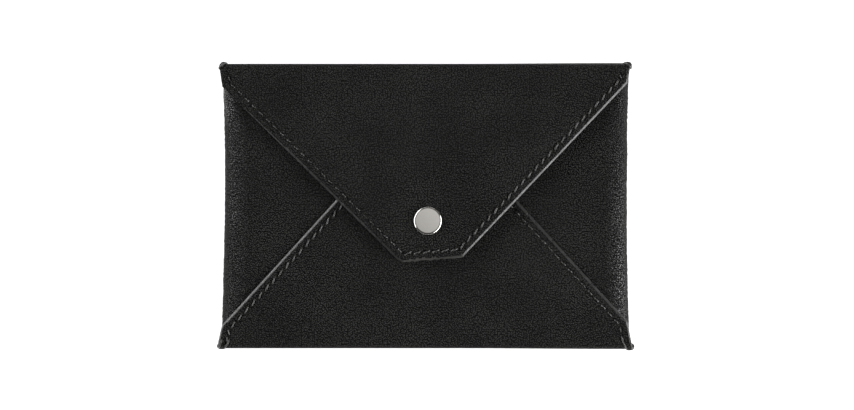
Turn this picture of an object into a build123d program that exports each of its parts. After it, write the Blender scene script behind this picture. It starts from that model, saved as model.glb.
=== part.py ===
from build123d import *

import os
from math import asin, atan2, cos, degrees, sin, sqrt

# Leather document wallet of envelope form: a folded pouch, a spine wall, a pointed flap and one snap.
# Millimetres. It lies on its back, +X to the right, +Y towards the spine, +Z up through the flap.
# The origin is on the resting face, below the middle of the wallet.

# Leather, lining and the room inside
leather = 1.0
lining = 0.4
lining_inset = 0.5
pocket_depth = 5.0

# Folded body: the sides bow in at the waist, and the bottom crease is tight
body_width = 140.0
body_height = 98.9
side_bow = 1.0
crease_inner_radius = 0.3

# Front panel, folded up from the bottom
front_ear = 0.8
front_side_rise = 8.25
front_side_inset = 0.6
front_reach = 73.0
front_tip_width = 23.0

# Side panels, folded in under the front panel
side_tip_gap = 48.0
side_tip_width = 8.0

# Spine wall and flap: the flap's tip is cut a little off centre and slanting, with one rounder corner
spine_ear = 0.4
crease_gap = 0.05
flap_clearance = 0.3
flap_side_drop = 6.95
flap_side_inset = 0.3
flap_reach = 68.0
flap_tip_width = 21.6
flap_tip_shift = 1.8
flap_tip_slant = 1.7
flap_left_round = 4.5
flap_right_round = 0.6

# Stitched seams
seam_inset = 2.4
stitch_pitch = 3.4
thread_width = 0.6
thread_height = 0.3
thread_fit = 0.04
stitch_gap_share = 0.6
front_seam_start = 1.0
front_seam_end = 2.0
flap_seam_start = 2.5

# Corner tacks: turns of thread round the ends of the spine wall and the bottom wall
tack_thread = 0.7
tack_bite = 1.6
tack_spacing = 1.6
tack_fit = 0.02
tack_turns = 2
fold_end_gap = 0.35

# Snap: place, cap and socket on the flap
snap_shift = 1.0
snap_from_tip = 13.15
snap_fit = 0.05
snap_clearance = 0.35
cap_diameter = 10.1
cap_height = 1.3
cap_rim_round = 0.6
cap_post_diameter = 3.0
cap_post_bore = 1.8
cap_crown = 0.9
clinch_width = 0.6
clinch_height = 0.3
socket_plate = 0.3
socket_wall = 0.9
socket_lip = 0.3
socket_lip_width = 0.85
socket_mouth_clearance = 0.45

# Snap: spring, stud and post on the front panel
spring_wire = 0.35
spring_fit = 0.08
spring_clearance = 0.1
stud_neck_diameter = 3.4
stud_head_bulge = 0.3
stud_head_height = 0.4
stud_top_clearance = 0.25
stud_wall = 0.35
stud_base = 0.3
stud_base_width = 1.5
post_flange_diameter = 7.0
post_flange = 0.35
post_wall = 0.5
post_clinch_width = 0.25
post_clinch_height = 0.25

# One overrun for all cuts
overrun = 1.0

# Levels and half sizes
wall = leather + lining
knuckle = wall / 2
side_level = wall + pocket_depth
front_level = side_level + leather
pouch_top = front_level + leather
half_width = body_width / 2
half_height = body_height / 2
fold_radius = front_level / 2
crease_radius = leather + crease_inner_radius

# Bow of the sides, and how long the side folds are
bow_radius = (half_height**2 + side_bow**2) / (2 * side_bow)
corner_half_width = half_width + side_bow
fold_half_length = half_height - wall - tack_fit - tack_thread - fold_end_gap
fold_angle = asin(fold_half_length / bow_radius)
front_end = corner_half_width + front_ear
spine_end = corner_half_width + spine_ear

# Crease lines on which the spine wall and the flap turn
axis_y = half_height - knuckle
back_axis_z = knuckle
flap_axis_z = front_level + flap_clearance + knuckle
panel_end_y = axis_y - knuckle - crease_gap

# Snap radii and heights, added up from the middle outwards and from the stud upwards
stud_neck_radius = stud_neck_diameter / 2
stud_bore_radius = stud_neck_radius - stud_wall
stud_head_radius = stud_neck_radius + stud_head_bulge
spring_half_gap = stud_neck_radius + spring_fit
socket_mouth_radius = stud_head_radius + socket_mouth_clearance
socket_cavity_radius = socket_mouth_radius + socket_lip_width
socket_radius = socket_cavity_radius + socket_wall
cap_radius = cap_diameter / 2
cap_post_radius = cap_post_diameter / 2
cap_hole_radius = cap_post_radius + snap_fit
post_clinch_radius = stud_bore_radius - snap_fit
post_radius = post_clinch_radius - post_clinch_width
post_hole_radius = post_radius + snap_fit
grip_height = stud_top_clearance + stud_head_height + spring_clearance + spring_wire
socket_height = socket_plate + clinch_height + grip_height + socket_lip
snap_gap = stud_base + snap_clearance + socket_height
stud_height = snap_gap - socket_plate - clinch_height - stud_top_clearance

# The flap rises from its crease to clear the snap
flap_tip_y = half_height - flap_reach
snap_y = flap_tip_y + snap_from_tip
flap_tilt = atan2(pouch_top + snap_gap + knuckle - flap_axis_z, axis_y - snap_y)
flap_plane = Plane(
    origin=(0, axis_y, flap_axis_z), x_dir=(1, 0, 0), z_dir=(0, sin(flap_tilt), cos(flap_tilt))
)
spring_bottom = socket_lip - knuckle - socket_height
stud_y = snap_y + (spring_bottom + spring_wire / 2) * sin(flap_tilt)


def edge_half_width(depth, y):
    """Half the pouch's width at that height, that far in from its bowed side edges."""
    return half_width + bow_radius - sqrt((bow_radius + depth) ** 2 - y**2)


def on_flap(x, y):
    """A place on the flap's own plane, from its place in the plan."""
    return Vector(x, (y - axis_y) / cos(flap_tilt))


def plate(outline, bottom, top):
    """A flat sheet of that outline between two levels."""
    return extrude(Pos(0, 0, bottom) * outline, amount=top - bottom)


def block(low, high):
    """A box between two opposite corners."""
    size = Vector(high) - Vector(low)
    return Pos(*(Vector(low) + size / 2)) * Box(*size)


def disc(radius, bottom, top):
    """A plain round disc or pin on the Z axis."""
    return plate(Circle(radius), bottom, top)


def turned(points):
    """A round piece, from its half section as (radius, height) points."""
    return revolve(Plane.XZ * make_face(Polyline(*points, close=True)), Axis.Z)


def flipped(shape):
    """The same piece on the other side of the wallet."""
    return mirror(shape, about=Plane.YZ)


def cross(first, second):
    """How far two plan directions turn away from each other."""
    return first.X * second.Y - first.Y * second.X


def inset_path(points, inset):
    """The line that runs at a fixed distance to the left of a chain of points, with sharp corners."""
    runs = []
    for start, end in zip(points, points[1:]):
        along = (end - start).normalized()
        runs.append((start + Vector(-along.Y, along.X) * inset, along))
    path = [runs[0][0]]
    for (here, along), (there, onward) in zip(runs, runs[1:]):
        path.append(here + along * (cross(there - here, onward) / cross(along, onward)))
    base, along = runs[-1]
    path.append(base + along * (points[-1] - points[-2]).length)
    return path


def stitches(path):
    """Holes as (place, turn) and stitches as (middle, turn, length), in whole stitches on each run."""
    holes = []
    spans = []
    for start, end in zip(path, path[1:]):
        run = end - start
        turn = degrees(atan2(run.Y, run.X))
        count = max(1, round(run.length / stitch_pitch))
        places = [start + run * (step / count) for step in range(count + 1)]
        holes += [(place, turn) for place in (places[1:] if holes else places)]
        spans += [((here + there) / 2, turn, run.length / count) for here, there in zip(places, places[1:])]
    return holes, spans


def thread(path, face, middle):
    """One thread of a lockstitch: bars along a face of the leather, dipping at each hole to the middle."""
    outward = 1 if face > middle else -1
    holes, spans = stitches(path)
    bar_middle = face + outward * thread_height / 2
    bar_gap = thread_width * stitch_gap_share
    pieces = []
    for place, turn, length in spans:
        bar = Box(length - bar_gap, thread_width, thread_height)
        pieces.append(Pos(place.X, place.Y, bar_middle) * Rot(0, 0, turn) * bar)
    for place, turn in holes:
        leg = Box(thread_width, thread_width, abs(bar_middle - middle))
        pieces.append(Pos(place.X, place.Y, (bar_middle + middle) / 2) * Rot(0, 0, turn) * leg)
    return pieces[0].fuse(*pieces[1:])


def needle_holes(path, bottom, top):
    """The awl holes that a seam's threads pass through."""
    side = thread_width + 2 * thread_fit
    holes, spans = stitches(path)
    cutter = Box(side, side, top - bottom + 2 * overrun)
    return [Pos(place.X, place.Y, (bottom + top) / 2) * Rot(0, 0, turn) * cutter for place, turn in holes]


def tack_rings(end, low_y, high_y):
    """Turns of thread round the right-hand end of a wall, and the slits that they pass through."""
    hole_x = end - tack_bite
    rings = []
    slits = []
    for turn in range(tack_turns):
        top = side_level - tack_fit - turn * tack_spacing
        bottom = top - tack_thread
        inner_low = (hole_x, low_y - tack_fit, bottom)
        inner_high = (end + tack_fit, high_y + tack_fit, top)
        grown = Vector(tack_thread, tack_thread, 0)
        ring = block(Vector(inner_low) - grown, Vector(inner_high) + grown)
        rings.append(ring - block(inner_low, inner_high))
        slit_low = (hole_x - tack_thread - tack_fit, low_y - overrun, bottom - tack_fit)
        slit_high = (hole_x + tack_fit, high_y + overrun, top + tack_fit)
        slits.append(block(slit_low, slit_high))
    return Compound(rings), slits


# Front panel's plan: an ear at each bottom corner, a bend, and a blunt tip that the flap hides
front_bend_y = front_side_rise - half_height
front_bend = Vector(front_side_inset - edge_half_width(0, front_bend_y), front_bend_y)
front_tip = Vector(-front_tip_width / 2, front_reach - half_height)
front_along = (front_tip - front_bend).normalized()
front_inward = Vector(front_along.Y, -front_along.X)

# Seam that joins the front panel to a side panel, clear of the side fold and of the side panel's tip
seam_base = front_bend + front_inward * seam_inset
front_seam_ends = (fold_radius - corner_half_width + front_seam_start, -side_tip_gap / 2 - front_seam_end)
front_seam = [seam_base + front_along * ((x - seam_base.X) / front_along.X) for x in front_seam_ends]
front_seam_middle = (side_level + pouch_top) / 2
left_seam_holes = needle_holes(front_seam, side_level, pouch_top)
right_seam_holes = [flipped(hole) for hole in left_seam_holes]

# Flap's plan, on its own plane: spine corners, side bends and the two corners of the tip
flap_bend_y = half_height - flap_side_drop
flap_bend_x = edge_half_width(0, flap_bend_y) - flap_side_inset
flap_left_tip = on_flap(flap_tip_shift - flap_tip_width / 2, flap_tip_y - flap_tip_slant / 2)
flap_right_tip = on_flap(flap_tip_shift + flap_tip_width / 2, flap_tip_y + flap_tip_slant / 2)
flap_points = [
    on_flap(-spine_end, panel_end_y),
    on_flap(-flap_bend_x, flap_bend_y),
    flap_left_tip,
    flap_right_tip,
    on_flap(flap_bend_x, flap_bend_y),
    on_flap(spine_end, panel_end_y),
]
flap_seam = inset_path(flap_points, seam_inset)
flap_seam[0] = flap_seam[0] + (flap_seam[1] - flap_seam[0]).normalized() * flap_seam_start
flap_seam[-1] = flap_seam[-1] + (flap_seam[-2] - flap_seam[-1]).normalized() * flap_seam_start
flap_seam_holes = needle_holes(flap_seam, -knuckle, knuckle)
snap_place = Pos(*on_flap(snap_shift, snap_y))
cap_hole = snap_place * disc(cap_hole_radius, -knuckle - overrun, knuckle + overrun)

# Corner tacks on the right-hand ends, and their slits
top_tack, top_slits = tack_rings(spine_end, half_height - wall, half_height)
bottom_tack, bottom_slits = tack_rings(front_end, -half_height, leather - half_height)


def back_panel():
    """Back of the pouch, from the bottom crease to the spine, between the two side folds."""
    low_y = crease_radius - half_height
    low_x = edge_half_width(fold_radius, low_y)
    high_x = edge_half_width(fold_radius, panel_end_y)
    waist_x = edge_half_width(fold_radius, 0)
    outline = make_face(
        [
            Line((-low_x, low_y), (low_x, low_y)),
            ThreePointArc((low_x, low_y), (waist_x, 0), (high_x, panel_end_y)),
            Line((high_x, panel_end_y), (-high_x, panel_end_y)),
            ThreePointArc((-high_x, panel_end_y), (-waist_x, 0), (-low_x, low_y)),
        ]
    )
    return plate(outline, 0, leather)


def back_lining():
    """Lining of the pouch, glued on the inside of the back panel."""
    side_x = edge_half_width(fold_radius, 0) - lining_inset
    low_y = crease_radius - half_height + lining_inset
    return block((-side_x, low_y, leather), (side_x, panel_end_y, wall))


def side_corner(angle):
    """Where the left side fold starts, at that angle about the centre of the side's bow."""
    reach = bow_radius + fold_radius
    return Vector(reach * cos(angle) - half_width - bow_radius, reach * sin(angle))


def left_side_panel():
    """Half-round fold on the left, and the pointed panel that lies under the front panel and the flap."""
    bow_axis = Axis((-half_width - bow_radius, 0, 0), (0, 0, 1))
    ring = Circle(fold_radius) - Circle(fold_radius - leather)
    half_ring = ring & Rectangle(fold_radius, front_level, align=(Align.MAX, Align.CENTER))
    profile = Plane.XZ * Pos(fold_radius - half_width, fold_radius) * half_ring
    fold = revolve(profile.rotate(bow_axis, -degrees(fold_angle)), bow_axis, 2 * degrees(fold_angle))
    upper = side_corner(fold_angle)
    lower = side_corner(-fold_angle)
    tip_lower = lower + front_along * ((-side_tip_gap / 2 - lower.X) / front_along.X)
    tip_upper = tip_lower + Vector(0, side_tip_width)
    outline = make_face(
        [
            Line(upper, tip_upper),
            Line(tip_upper, tip_lower),
            Line(tip_lower, lower),
            ThreePointArc(lower, side_corner(0), upper),
        ]
    )
    return fold + plate(outline, side_level, front_level) - left_seam_holes


def front_panel():
    """Bottom wall between two tight creases, and the front sheet above it."""
    sheet_end = front_reach + overrun
    outer = Rectangle(sheet_end, pouch_top, align=(Align.MIN, Align.MIN))
    outer = fillet(outer.vertices().sort_by(Axis.X)[:2], crease_radius)
    inner = Rectangle(sheet_end, front_level - leather, align=(Align.MIN, Align.MIN))
    inner = fillet(inner.vertices().sort_by(Axis.X)[:2], crease_inner_radius)
    back_edge = Pos(crease_radius, 0) * Rectangle(sheet_end, leather, align=(Align.MIN, Align.MIN))
    section = outer - Pos(leather, leather) * inner - back_edge
    folded = extrude(Plane.YZ * Pos(-half_height, 0) * section, front_end, both=True)
    corners = [
        (-front_end, -half_height),
        (front_end, -half_height),
        (-front_bend.X, front_bend.Y),
        (-front_tip.X, front_tip.Y),
        (front_tip.X, front_tip.Y),
        (front_bend.X, front_bend.Y),
    ]
    plan = plate(make_face(Polyline(*corners, close=True)), 0, pouch_top)
    post_hole = Pos(snap_shift, stud_y) * disc(post_hole_radius, 0, pouch_top + overrun)
    slits = bottom_slits + [flipped(slit) for slit in bottom_slits]
    return (folded & plan) - left_seam_holes - right_seam_holes - slits - post_hole


def spine_lining():
    """Lining strip let into the inner face of the spine wall."""
    end_x = spine_end - tack_bite - tack_thread - tack_fit - lining_inset
    low_y = half_height - wall
    return block((-end_x, low_y, back_axis_z), (end_x, low_y + lining, flap_axis_z))


def top_spine():
    """Spine wall between the two creases, with a rounded edge on each crease line."""
    slot = SlotCenterToCenter(flap_axis_z - back_axis_z, wall, rotation=90)
    section = Plane.YZ * Pos(axis_y, (flap_axis_z + back_axis_z) / 2) * slot
    slits = top_slits + [flipped(slit) for slit in top_slits]
    return extrude(section, spine_end, both=True) - spine_lining() - slits


def flap_sheet(bottom, top):
    """One layer of the flap, pierced for its seam and for the snap's post."""
    outline = make_face(Polyline(*flap_points, close=True))
    for tip, rounding in ((flap_left_tip, flap_left_round), (flap_right_tip, flap_right_round)):
        outline = fillet(outline.vertices().sort_by_distance(tip)[0], rounding)
    return flap_plane * (plate(outline, bottom, top) - flap_seam_holes - cap_hole)


def on_snap(shape):
    """A piece of the snap, carried by the flap."""
    return flap_plane * snap_place * shape


def snap_cap():
    """Flat cap with a rounded rim, and its hollow post clinched inside the socket."""
    top = knuckle + cap_height
    seat = -knuckle - socket_plate
    end = seat - clinch_height
    body = turned(
        [
            (0, top),
            (cap_radius, top),
            (cap_radius, knuckle),
            (cap_post_radius, knuckle),
            (cap_post_radius, seat),
            (cap_post_radius + clinch_width, seat),
            (cap_post_radius + clinch_width, end),
            (cap_post_bore / 2, end),
            (cap_post_bore / 2, top - cap_crown),
            (0, top - cap_crown),
        ]
    )
    rim = body.edges().group_by(Axis.Z)[-1]
    return on_snap(fillet(rim, cap_rim_round))


def snap_socket():
    """Round socket below the flap, with a cavity for the spring and a lip that holds it."""
    top = -knuckle
    bottom = top - socket_height
    return on_snap(
        turned(
            [
                (cap_hole_radius, top),
                (socket_radius, top),
                (socket_radius, bottom),
                (socket_mouth_radius, bottom),
                (socket_mouth_radius, bottom + socket_lip),
                (socket_cavity_radius, bottom + socket_lip),
                (socket_cavity_radius, top - socket_plate),
                (cap_hole_radius, top - socket_plate),
            ]
        )
    )


def snap_spring():
    """Hairpin wire in the socket: two legs that grip the stud's neck, joined by an arch."""
    outer_x = spring_half_gap + spring_wire
    outer_radius = socket_cavity_radius - snap_fit
    leg_end = sqrt(outer_radius**2 - outer_x**2)
    arch = Circle(outer_radius) - Circle(outer_radius - spring_wire)
    arch = arch & Rectangle(2 * outer_x, outer_radius, align=(Align.CENTER, Align.MIN))
    leg_x = spring_half_gap + spring_wire / 2
    legs = [Pos(x, 0) * Rectangle(spring_wire, 2 * leg_end) for x in (-leg_x, leg_x)]
    return on_snap(plate(arch + legs, spring_bottom, spring_bottom + spring_wire))


def snap_stud():
    """Hollow stud on the front panel, with a bulge above its neck."""
    neck_top = stud_height - stud_head_height
    points = [
        (post_hole_radius, 0),
        (stud_neck_radius + stud_base_width, 0),
        (stud_neck_radius + stud_base_width, stud_base),
        (stud_neck_radius, stud_base),
        (stud_neck_radius, neck_top),
        (stud_head_radius, neck_top + stud_head_height / 2),
        (stud_neck_radius, stud_height),
        (stud_bore_radius, stud_height),
        (stud_bore_radius, stud_base),
        (post_hole_radius, stud_base),
    ]
    return Pos(snap_shift, stud_y, pouch_top) * turned(points)


def snap_post():
    """Flanged post below the front panel, clinched inside the stud."""
    grip = leather + stud_base
    bore_radius = post_radius - post_wall
    points = [
        (0, -post_flange),
        (post_flange_diameter / 2, -post_flange),
        (post_flange_diameter / 2, 0),
        (post_radius, 0),
        (post_radius, grip),
        (post_clinch_radius, grip),
        (post_clinch_radius, grip + post_clinch_height),
        (bore_radius, grip + post_clinch_height),
        (bore_radius, 0),
        (0, 0),
    ]
    return Pos(snap_shift, stud_y, front_level) * turned(points)


left_panel = left_side_panel()
left_top_thread = thread(front_seam, pouch_top, front_seam_middle)
left_under_thread = thread(front_seam, side_level, front_seam_middle)
nodes = {
    "back_panel": back_panel(),
    "back_lining": back_lining(),
    "left_side_panel": left_panel,
    "right_side_panel": flipped(left_panel),
    "front_panel": front_panel(),
    "left_seam_top_thread": left_top_thread,
    "left_seam_under_thread": left_under_thread,
    "right_seam_top_thread": flipped(left_top_thread),
    "right_seam_under_thread": flipped(left_under_thread),
    "bottom_left_tack": flipped(bottom_tack),
    "bottom_right_tack": bottom_tack,
    "top_spine": top_spine(),
    "spine_lining": spine_lining(),
    "top_left_tack": flipped(top_tack),
    "top_right_tack": top_tack,
    "flap_panel": flap_sheet(knuckle - leather, knuckle),
    "flap_lining": flap_sheet(-knuckle, knuckle - leather),
    "flap_top_thread": flap_plane * thread(flap_seam, knuckle, 0),
    "flap_under_thread": flap_plane * thread(flap_seam, -knuckle, 0),
    "snap_cap": snap_cap(),
    "snap_socket": snap_socket(),
    "snap_spring": snap_spring(),
    "snap_stud": snap_stud(),
    "snap_post": snap_post(),
}

os.makedirs("parts", exist_ok=True)
for name, shape in nodes.items():
    export_step(shape, f"parts/{name}.step")
print(f"flap tilt {degrees(flap_tilt):.3f} degrees")
print(f"spine crease at y {axis_y:.3f}, z {back_axis_z:.3f}; flap crease at y {axis_y:.3f}, z {flap_axis_z:.3f}")
print(f"snap on the flap at x {snap_shift:.3f}, y {snap_y:.3f}; stud at y {stud_y:.3f}")
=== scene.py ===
from collections import namedtuple
from math import atan2, cos, exp, hypot, pi, radians, sin, sqrt

import bmesh
import bpy
from mathutils import Matrix, Vector, noise
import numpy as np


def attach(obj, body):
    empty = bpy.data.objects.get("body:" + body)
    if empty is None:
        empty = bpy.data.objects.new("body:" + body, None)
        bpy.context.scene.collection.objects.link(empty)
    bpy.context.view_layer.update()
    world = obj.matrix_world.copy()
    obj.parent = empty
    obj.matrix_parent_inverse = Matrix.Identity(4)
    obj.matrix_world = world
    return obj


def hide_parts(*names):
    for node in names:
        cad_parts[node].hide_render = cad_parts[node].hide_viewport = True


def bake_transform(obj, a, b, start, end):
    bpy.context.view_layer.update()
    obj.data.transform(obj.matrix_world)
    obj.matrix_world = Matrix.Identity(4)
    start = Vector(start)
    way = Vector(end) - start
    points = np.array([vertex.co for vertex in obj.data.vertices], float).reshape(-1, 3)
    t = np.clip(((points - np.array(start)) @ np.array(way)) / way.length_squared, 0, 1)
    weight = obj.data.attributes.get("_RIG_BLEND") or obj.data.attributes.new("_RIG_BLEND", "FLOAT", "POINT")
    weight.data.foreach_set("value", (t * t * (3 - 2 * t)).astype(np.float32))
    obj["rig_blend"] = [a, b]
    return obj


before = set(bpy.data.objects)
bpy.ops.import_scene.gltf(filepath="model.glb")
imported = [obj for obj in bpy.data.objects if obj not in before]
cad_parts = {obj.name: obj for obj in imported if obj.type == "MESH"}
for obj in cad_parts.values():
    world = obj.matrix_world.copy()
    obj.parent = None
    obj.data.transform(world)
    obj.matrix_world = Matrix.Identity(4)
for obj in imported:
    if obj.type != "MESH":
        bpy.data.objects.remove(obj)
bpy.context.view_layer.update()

# Leather document wallet of envelope form. Shapes are worked out in millimetres, in the part's own frame.
mm = 0.001

# Leather, lining and the folded body
leather = 1.0
lining = 0.4
half_width = 70.0
half_height = 49.45
side_bow = 1.0
bow_radius = (half_height**2 + side_bow**2) / (2 * side_bow)
crease_radius = 1.3
fold_radius = 3.7
fold_half_length = 46.95
back_edge = half_height - crease_radius
pouch_top = 8.4
back_half = half_width - fold_radius
wall_belly = 0.14
right_belly = 0.27
right_belly_rise = (10.0, 66.0)
belly_start = 2.5
belly_full = 0.5
left_bulge = 0.42
left_bulge_rise = (-25.0, 30.0)
right_dip = 0.2
right_dip_rise = (18.0, 28.0)

# Unevenness of hand-cut leather: height and length of its waves, and where they set in and fade
flap_wave = 0.16
flap_wave_length = 24.0
flap_wave_rise = (0.0, 8.0)
front_wave = 0.12
front_wave_length = 21.0
front_wave_rise = (0.0, 6.0)
front_wave_fall = (34.0, 40.0)
front_sag = 0.45
front_sag_rise = (2.0, 16.0)
front_sag_fall = (26.0, 38.0)
front_sag_sides = (16.0, 44.0)
side_slack = 0.08
side_slack_length = 12.0
side_slack_rise = (2.0, 8.0)
wrinkle_rise = (2.0, 5.0)
wrinkle_fall = (1.0, 6.0)
wrinkle_ends = (38.0, 46.0)
fine_wrinkle = 0.15
fine_wrinkle_lengths = (3.5, 0.95)
slow_wrinkle = 0.12
slow_wrinkle_lengths = (7.0, 4.5)

# Cut edges: how far in and how deep they are bevelled and burnished; the flap's tip is raw and frayed
Edge = namedtuple("Edge", "width depth curve roll burnish")
leather_edge = Edge(width=1.0, depth=0.38, curve=1.25, roll=0.3, burnish=0.7)
front_edge = Edge(width=1.1, depth=0.42, curve=1.0, roll=0.25, burnish=1.05)
lining_edge = Edge(width=0.15, depth=0.15, curve=1.25, roll=0.0, burnish=0.0)
roll_width = 2.5
under_edge = Edge(width=0.25, depth=0.2, curve=1.25, roll=0.0, burnish=0.0)
raw_width = 0.7
raw_waves = ((0.5, 1.6, 9.3), (0.3, 0.6, 2.9))
tip_fray = 0.3
tip_fray_length = 1.4
tip_lift = 0.15
tip_lift_length = 1.1
tip_overlap_share = 0.02

# Wear on the side folds: where it sets in and is full, across the blank and from the front to the back
wear_rise = (7.5, 9.5)
wear_fall = (15.2, 10.7)
wear_left = (0.0, -10.0)
wear_left_shift = 0.6
wear_left_middle = (-12.0, 0.0)
wear_left_share = 0.3
wear_corner = (27.0, 34.0)
wear_corner_shift = 2.0
wear_right_middle = 4.0
wear_right_areas = (1200.0, -1600.0)
wear_least_share = 0.35

# Front panel: bottom wall, ears at the bottom corners, side bends and a blunt tip under the flap
front_left_ear = 72.8
front_right_ear = 71.8
front_ear_fade = 0.38
front_ear_range = (-2.0, 1.5)
front_left_bend = (-71.0, -41.35)
front_right_bend = (70.09, -40.1)
front_tip_x = 11.9
front_tip_y = 23.55
side_tip_x = 24.0
side_tip_low = 0.8
side_tip_high = 8.8

# Spine wall and flap
spine_left = 71.9
spine_right = 70.95
spine_middle = 4.55
axis_y = 48.75
back_axis_z = 0.7
flap_axis_z = 8.4
flap_half = 0.7
flap_tilt = radians(3.54)
flap_left_bend = (-70.9, 41.55)
flap_right_bend = (70.2, 42.9)
flap_half_width = 70.5
flap_left_tip = (-9.0, -19.4)
flap_right_tip = (12.7, -17.7)
flap_tip_round = 1.9
flap_tip_share = 0.855
flap_tip_droop = 1.5
flap_side_droop = 0.35
flap_droop_width = 26.0
flap_droop_margin = 11.0
flap_droop_rise = (0.0, 12.0)
flap_crown = 0.45
flap_crown_share = 0.8
flap_left_fades = ((0.3, 44.0, 62.0), (0.5, 60.0, 66.0))
flap_ear_fade = 0.3
flap_ear_range = (69.8, 70.8)
spine_root = 0.6
blend_reach = 1.6
crease_reach = blend_reach / sqrt(2)

# Stitched seams; some stitches are narrower and shorter, with their ends drawn into the leather
flap_seam_inset = 2.75
flap_seam_start = 2.5
front_seam_inset = 2.9
front_seam_start = 2.0
front_seam_end = 26.0
stitch_pitch = 3.4
stitch_gap = 0.3
stitch_rise = 0.68
stitch_top = 0.16
thread_width = 0.56
width_play_share = 0.2
whole_shares = (1.0, 1.0)
stitch_slant = radians(19)
stitch_slight_slant = radians(3)
flap_sunk_shares = (0.84, 0.62)
front_sunk_shares = (0.95, 0.75)
stitch_play = radians(9)
stitch_play_length = 2.3
seam_groove = 0.12
groove_width = 0.75
hole_dent = 0.34
dent_width = 0.48
pull_reach = 2.0

# Snap: its place on the flap and the cap's own sizes
snap_x = 0.6
snap_y = -5.2
snap_flat = 5.2
snap_flat_end = 10.0
cap_radius = 5.0
cap_height = 1.3
cap_rim = 0.75
cap_crown = 0.1
cap_bevel = 0.24
cap_bevel_slope = radians(20)
cap_hem = 0.5
cap_sink = 0.06
# Painted reflection on the cap: where the nickel's colour turns from darker at the lower left to lighter at
# the upper right
cap_painted_reflection_range = (-11.6, 2.4)
cap_face_shares = (0.0, 0.3, 0.5, 0.65, 0.8, 0.9, 1.0)
cap_rim_steps = 12
cap_steps = 72
cap_merge = 0.0005

# Widths of the rows of leather that run round each cut edge, from the edge inwards
round_rows = [0.1, 0.25, 0.3, 0.35]
seam_rows = [0.5, 0.4, 0.3, 0.25, 0.25, 0.25, 0.25, 0.25, 0.4, 0.8]
leather_rows = round_rows + seam_rows
side_rows = round_rows + [0.9, 1.6]
lining_rows = [0.03, 0.05, 0.07, 0.6]
row_step = 0.28
far_from_edge = 99.0
touching = 0.001

# Steps of the creases, how far they reach past the bend, and steps of the grid inside each blank
flap_crease_step = 0.2
back_crease_step = 0.22
crease_margin = 0.4
front_crease_step = 0.24
front_crease_margin = 0.2
fold_step = 0.5
wrinkle_step = 0.4
panel_grid = 2.0
back_grid = 3.0
lining_grid = 2.5
score_merge = 0.02

# Finishes of a piece of leather, in the order of its slots, and how level its faces are at least
upper_face = 0
under_face = 1
cut_edge = 2
raw_tip = 3
flat_normal = 0.5


class Number:
    """One number of a node tree; sums of such numbers become Math nodes."""

    def __init__(self, nodes, socket):
        self.nodes = nodes
        self.socket = socket

    def sum_of(self, operation, first, second):
        return self.nodes.number("ShaderNodeMath", {"operation": operation}, {0: first, 1: second})

    def __add__(self, other):
        return self.sum_of("ADD", self, other)

    def __radd__(self, other):
        return self.sum_of("ADD", other, self)

    def __sub__(self, other):
        return self.sum_of("SUBTRACT", self, other)

    def __rsub__(self, other):
        return self.sum_of("SUBTRACT", other, self)

    def __mul__(self, other):
        return self.sum_of("MULTIPLY", self, other)

    def __rmul__(self, other):
        return self.sum_of("MULTIPLY", other, self)


class Nodes:
    """A node tree, built up node by node."""

    def __init__(self, tree):
        self.tree = tree

    def node(self, kind, settings, sockets):
        """A new node: its settings first, then the values or links of its sockets."""
        made = self.tree.nodes.new(kind)
        for key, value in settings.items():
            if key == "stops":
                for stop, (place, shade) in zip(made.color_ramp.elements, value):
                    stop.position = place
                    stop.color = shade
            else:
                setattr(made, key, value)
        for key, value in sockets.items():
            self.feed(made.inputs[key], value)
        return made

    def number(self, kind, settings, sockets):
        """What a new node gives, as a number."""
        return Number(self, self.node(kind, settings, sockets).outputs[0])

    def feed(self, socket, value):
        """Links a socket, or sets its value."""
        if isinstance(value, Number):
            self.tree.links.new(value.socket, socket)
        elif isinstance(value, bpy.types.NodeSocket):
            self.tree.links.new(value, socket)
        else:
            socket.default_value = value


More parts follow.
